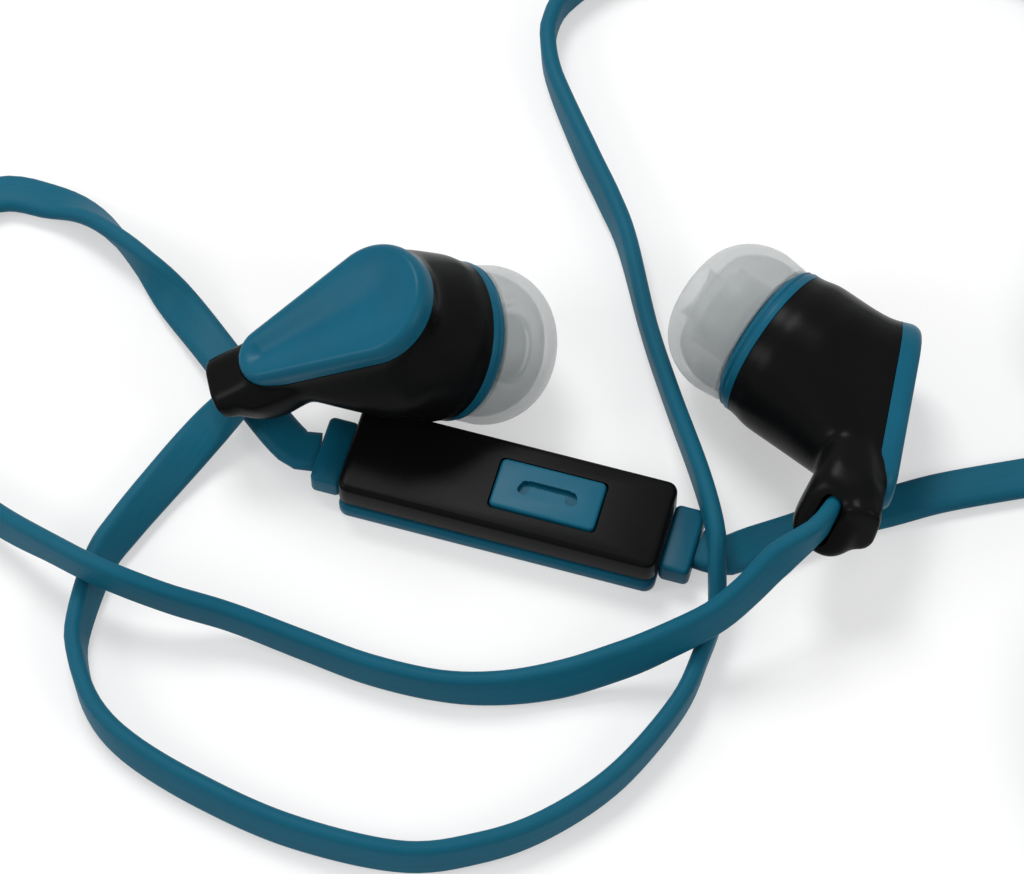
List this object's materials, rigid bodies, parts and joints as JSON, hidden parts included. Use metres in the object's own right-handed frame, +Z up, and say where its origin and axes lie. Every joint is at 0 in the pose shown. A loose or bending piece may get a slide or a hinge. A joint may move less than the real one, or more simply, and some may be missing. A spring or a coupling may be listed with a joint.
{
  "type": "wired in-ear earphones",
  "caption": "Wired in-ear earphones with silicone tips, angled stems, a flat cord, a one-button in-line remote, a splitter and a coiled lead to a 3.5 mm plug.",
  "frame": {"origin": "centre of the remote's flat underside, on the surface that the set lies on", "axes": "+Z up, +Y away from the viewer of the picture, +X to the right; the remote's long axis is turned 16 degrees clockwise from +X"},
  "size_m": [0.1427, 0.0976, 0.0191],
  "materials": {
    "blue_plastic": "moulded, satin gloss",
    "black_plastic": "moulded, soft gloss",
    "silicone": "frosted translucent silicone",
    "cord_blue": "satin flat cord jacket",
    "steel": "plain",
    "magnet": "nickel plated",
    "copper": "enamelled copper wire",
    "film": "thin polymer film",
    "board": "solder mask",
    "gold": "gold-coloured plating",
    "dark_rubber": "matte"
  },
  "bodies": {
    "set": {"nozzle_screen_left": "steel", "front_shell_left": "blue_plastic", "body_shell_left": "black_plastic", "rear_cap_left": "blue_plastic", "driver_frame_left": "black_plastic", "driver_magnet_left": "magnet", "driver_yoke_left": "steel", "voice_coil_left": "copper", "diaphragm_left": "film", "terminal_board_left": "board", "cord_anchor_left": "steel", "remote_stub_left": "blue_plastic", "nozzle_screen_right": "steel", "front_shell_right": "blue_plastic", "body_shell_right": "black_plastic", "rear_cap_right": "blue_plastic", "driver_frame_right": "black_plastic", "driver_magnet_right": "magnet", "driver_yoke_right": "steel", "voice_coil_right": "copper", "diaphragm_right": "film", "terminal_board_right": "board", "cord_anchor_right": "steel", "remote_stub_right": "blue_plastic", "remote_cover": "black_plastic", "remote_base": "blue_plastic", "remote_board": "board", "switch_body": "steel", "mic_capsule": "steel", "splitter_body": "blue_plastic", "plug_boot": "blue_plastic", "plug_grip": "black_plastic", "plug_sleeve": "gold", "plug_ring_lower": "gold", "plug_ring_upper": "gold", "plug_tip": "gold", "plug_insulator": "dark_rubber", "cord_left": "cord_blue", "cord_right_upper": "cord_blue", "cord_right_lower": "cord_blue", "main_cord_lead": "cord_blue", "main_cord_coil": "cord_blue", "main_cord_tail": "cord_blue", "coil_tie": "dark_rubber"},
    "button": {"call_button": "blue_plastic"},
    "plunger": {"switch_plunger": "dark_rubber"},
    "tip_left": {"ear_tip_left": "silicone"},
    "tip_right": {"ear_tip_right": "silicone"}
  },
  "joints": [
    {"name": "button_press", "type": "slide", "parent": "set", "child": "button", "axis": [0, 0, -1], "range_m": [0, 0.00025], "stiffness_N_per_m": 400},
    {"name": "plunger_press", "type": "slide", "parent": "set", "child": "plunger", "axis": [0, 0, -1], "range_m": [0, 0.00025]},
    {"name": "tip_left_turn", "type": "hinge", "parent": "set", "child": "tip_left", "pos_m": [-0.00495, 0.011, 0.00825], "axis": [0.8212, 0.1828, -0.5405], "continuous": true},
    {"name": "tip_right_turn", "type": "hinge", "parent": "set", "child": "tip_right", "pos_m": [0.02163, 0.01109, 0.00695], "axis": [-0.7911, 0.6109, 0.03], "continuous": true}
  ],
  "couplings": [
    {"joint": "plunger_press", "follows": "button_press", "ratio": 1}
  ]
}
